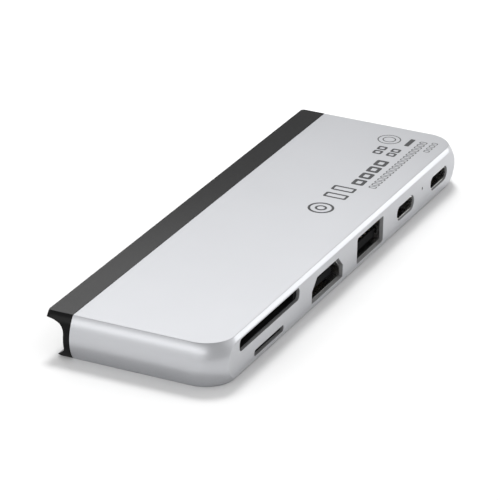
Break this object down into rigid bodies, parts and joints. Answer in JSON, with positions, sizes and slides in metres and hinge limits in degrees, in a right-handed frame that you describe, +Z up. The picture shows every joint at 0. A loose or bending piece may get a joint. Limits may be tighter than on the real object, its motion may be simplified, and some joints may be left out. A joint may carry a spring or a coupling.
{
  "type": "usb hub",
  "caption": "Slim laptop hub: bulged aluminium slab with card slots and sockets along one side, and a black magnetic edge strip with a lip over the host plugs on the other.",
  "frame": {"origin": "middle of the base's bounding box, on the surface it lies on", "axes": "+X along the hub from the card slots to the second small socket, -Y out of the port face, +Y to the laptop, +Z up through the marked face"},
  "size_m": [0.1226, 0.0404, 0.0093],
  "materials": {
    "anodised_aluminium": "fine bead-blasted satin anodise",
    "black_satin_plastic": "moulded satin",
    "black_plastic": "moulded, matt",
    "zinc_steel": "black zinc plating",
    "nickel_magnet": "nickel plating",
    "nickel_steel": "bright nickel plating",
    "circuit_board": "solder-mask lacquer",
    "chip_resin": "moulded epoxy",
    "capacitor_case": "moulded resin",
    "ceramic_body": "fired, unglazed",
    "inductor_core": "pressed iron powder",
    "soft_pad": "soft silicone",
    "clear_film": "thin polyester film",
    "light_body": "clear to milky acrylic",
    "gold_contact": "thin gold plating"
  },
  "bodies": {
    "hub": {"housing_shell": "anodised_aluminium", "plug_carrier": "black_plastic", "carrier_screws": "zinc_steel", "housing_magnets": "nickel_magnet", "main_board": "circuit_board", "hub_controller": "chip_resin", "video_converter": "chip_resin", "power_controller": "chip_resin", "card_controller": "chip_resin", "signal_retimer": "chip_resin", "clock_crystals": "nickel_steel", "bulk_capacitors": "capacitor_case", "ceramic_capacitors": "ceramic_body", "surge_arrays": "chip_resin", "power_inductors": "inductor_core", "shield_can": "nickel_steel", "thermal_pad": "soft_pad", "insulating_film": "clear_film", "status_led": "light_body", "light_pipe": "light_body", "card_reader_frame": "black_plastic", "card_reader_top_cover": "nickel_steel", "card_reader_bottom_cover": "nickel_steel", "sd_contacts": "gold_contact", "microsd_contacts": "gold_contact", "video_socket_shell": "nickel_steel", "video_socket_tongue": "black_plastic", "video_socket_contacts": "gold_contact", "usb_a_socket_shell": "nickel_steel", "usb_a_socket_tongue": "black_plastic", "usb_a_socket_contacts": "gold_contact", "usb_c_socket_1_shell": "nickel_steel", "usb_c_socket_1_tongue": "black_plastic", "usb_c_socket_1_contacts": "gold_contact", "usb_c_socket_2_shell": "nickel_steel", "usb_c_socket_2_tongue": "black_plastic", "usb_c_socket_2_contacts": "gold_contact", "host_plug_1_shell": "nickel_steel", "host_plug_1_insulator": "black_plastic", "host_plug_1_contacts": "gold_contact", "host_plug_2_shell": "nickel_steel", "host_plug_2_insulator": "black_plastic", "host_plug_2_contacts": "gold_contact"},
    "edge_strip": {"edge_frame": "black_satin_plastic", "edge_magnets": "nickel_magnet"}
  },
  "joints": [
    {"name": "edge_strip_pull", "type": "slide", "parent": "hub", "child": "edge_strip", "axis": [0, 1, 0], "range_m": [0, 0.01]}
  ]
}
